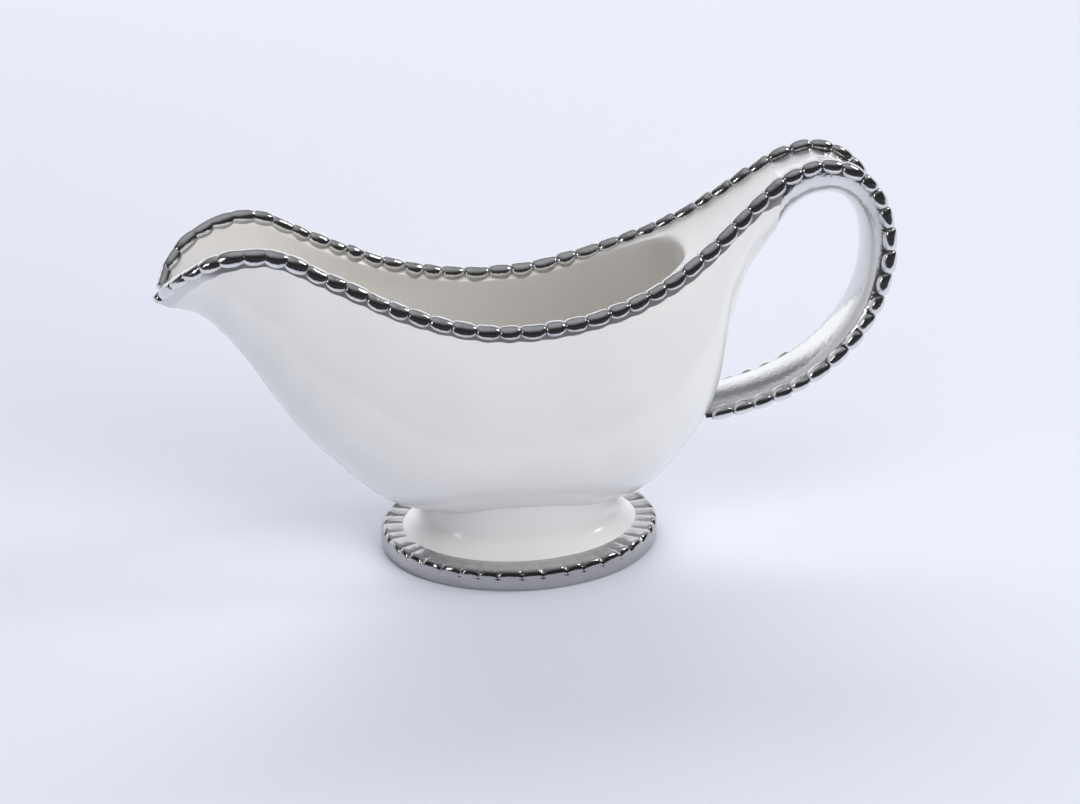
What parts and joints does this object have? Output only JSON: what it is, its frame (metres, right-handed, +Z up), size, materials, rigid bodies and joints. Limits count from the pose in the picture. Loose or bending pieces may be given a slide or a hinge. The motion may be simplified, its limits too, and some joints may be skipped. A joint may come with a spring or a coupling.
{
  "type": "sauce boat",
  "caption": "Footed sauce boat with a long pouring spout, a high looped strap handle, beaded metal edges and a ribbed oval foot; holds and pours gravy or sauce.",
  "frame": {"origin": "on the table, under the middle of the overall length, on the plane between the two sides", "axes": "+Z up, +X from the spout towards the handle, +Y across"},
  "size_m": [0.2326, 0.0738, 0.1252],
  "materials": {
    "porcelain": "glossy white glaze",
    "silver_trim": "bright mirror lustre over the glaze"
  },
  "bodies": {
    "root": {"bowl": "porcelain", "foot_stem": "porcelain", "foot_ring": "silver_trim", "handle": "silver_trim", "spout_bead": "silver_trim", "rim_beads_left": "silver_trim", "rim_beads_right": "silver_trim", "handle_beads_left": "silver_trim", "handle_beads_right": "silver_trim"}
  },
  "joints": []
}
